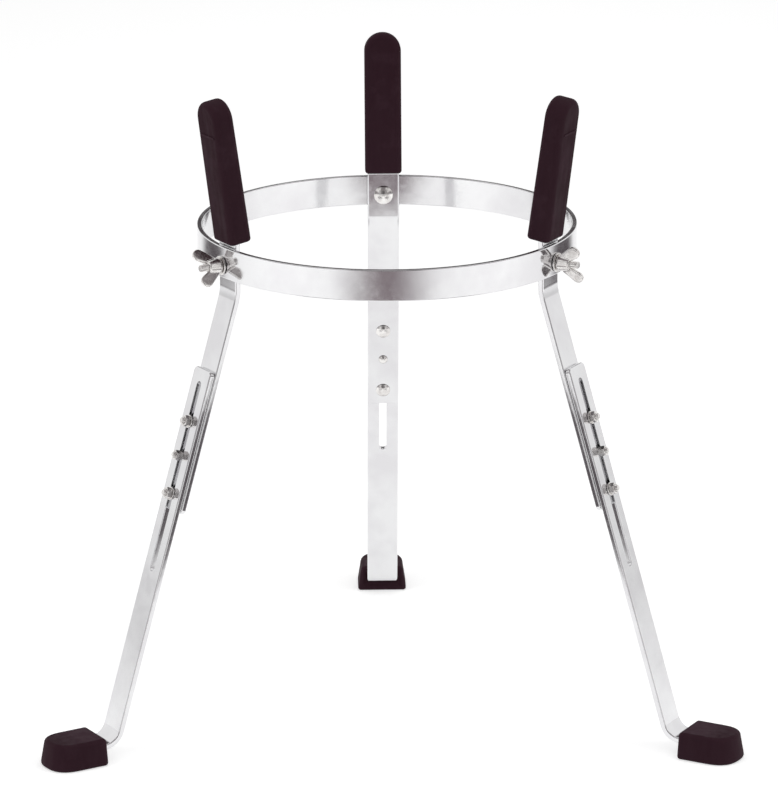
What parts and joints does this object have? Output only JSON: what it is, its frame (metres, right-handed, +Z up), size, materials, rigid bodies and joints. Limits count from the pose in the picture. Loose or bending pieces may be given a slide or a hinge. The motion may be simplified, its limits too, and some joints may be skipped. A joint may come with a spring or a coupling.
{
  "type": "conga stand",
  "caption": "Height-adjustable basket stand for a conga: flat steel ring, leaning rubber-sleeved uprights and slotted flat-bar legs with rubber feet.",
  "frame": {"origin": "middle of the footprint, on the floor", "axes": "+Z up along the ring's axis, +Y towards the rear leg, +X towards the right leg"},
  "size_m": [0.5602, 0.4899, 0.5243],
  "materials": {
    "chrome_steel": "polished plating",
    "zinc_hardware": "bright zinc plating",
    "black_rubber": "moulded, satin"
  },
  "bodies": {
    "ring_and_uprights": {"drum_ring": "chrome_steel", "rear_upper_leg": "chrome_steel", "rear_upright_sleeve": "black_rubber", "rear_ring_bolt": "zinc_hardware", "rear_ring_washer": "zinc_hardware", "rear_upper_clamp_bolt": "zinc_hardware", "rear_lower_clamp_bolt": "zinc_hardware", "rear_upper_clamp_washer": "zinc_hardware", "rear_lower_clamp_washer": "zinc_hardware", "rear_upper_clamp_nut": "zinc_hardware", "rear_lower_clamp_nut": "zinc_hardware", "rear_stop_screw": "zinc_hardware", "rear_stop_nut": "zinc_hardware", "left_upper_leg": "chrome_steel", "left_upright_sleeve": "black_rubber", "left_ring_bolt": "zinc_hardware", "left_ring_washer": "zinc_hardware", "left_upper_clamp_bolt": "zinc_hardware", "left_lower_clamp_bolt": "zinc_hardware", "left_upper_clamp_washer": "zinc_hardware", "left_lower_clamp_washer": "zinc_hardware", "left_upper_clamp_nut": "zinc_hardware", "left_lower_clamp_nut": "zinc_hardware", "left_stop_screw": "zinc_hardware", "left_stop_nut": "zinc_hardware", "right_upper_leg": "chrome_steel", "right_upright_sleeve": "black_rubber", "right_ring_bolt": "zinc_hardware", "right_ring_washer": "zinc_hardware", "right_upper_clamp_bolt": "zinc_hardware", "right_lower_clamp_bolt": "zinc_hardware", "right_upper_clamp_washer": "zinc_hardware", "right_lower_clamp_washer": "zinc_hardware", "right_upper_clamp_nut": "zinc_hardware", "right_lower_clamp_nut": "zinc_hardware", "right_stop_screw": "zinc_hardware", "right_stop_nut": "zinc_hardware"},
    "rear_sliding_leg": {"rear_lower_leg": "chrome_steel", "rear_foot": "black_rubber"},
    "rear_thumb_nut": {"rear_wing_nut": "zinc_hardware"},
    "left_sliding_leg": {"left_lower_leg": "chrome_steel", "left_foot": "black_rubber"},
    "left_thumb_nut": {"left_wing_nut": "zinc_hardware"},
    "right_sliding_leg": {"right_lower_leg": "chrome_steel", "right_foot": "black_rubber"},
    "right_thumb_nut": {"right_wing_nut": "zinc_hardware"}
  },
  "joints": [
    {"name": "rear_leg_slide", "type": "slide", "parent": "ring_and_uprights", "child": "rear_sliding_leg", "axis": [0, 0.2957, -0.9553], "range_m": [-0.055, 0.03]},
    {"name": "rear_wing_nut_turn", "type": "hinge", "parent": "ring_and_uprights", "child": "rear_thumb_nut", "pos_m": [0, 0.07858, 0.3898], "axis": [0, 1, 0], "continuous": true},
    {"name": "left_leg_slide", "type": "slide", "parent": "ring_and_uprights", "child": "left_sliding_leg", "axis": [-0.2561, -0.1479, -0.9553], "range_m": [-0.055, 0.03]},
    {"name": "left_wing_nut_turn", "type": "hinge", "parent": "ring_and_uprights", "child": "left_thumb_nut", "pos_m": [-0.13207, -0.15017, 0.3898], "axis": [-0.866, -0.5, 0], "continuous": true},
    {"name": "right_leg_slide", "type": "slide", "parent": "ring_and_uprights", "child": "right_sliding_leg", "axis": [0.2561, -0.1479, -0.9553], "range_m": [-0.055, 0.03]},
    {"name": "right_wing_nut_turn", "type": "hinge", "parent": "ring_and_uprights", "child": "right_thumb_nut", "pos_m": [0.13207, -0.15017, 0.3898], "axis": [0.866, -0.5, 0], "continuous": true}
  ]
}
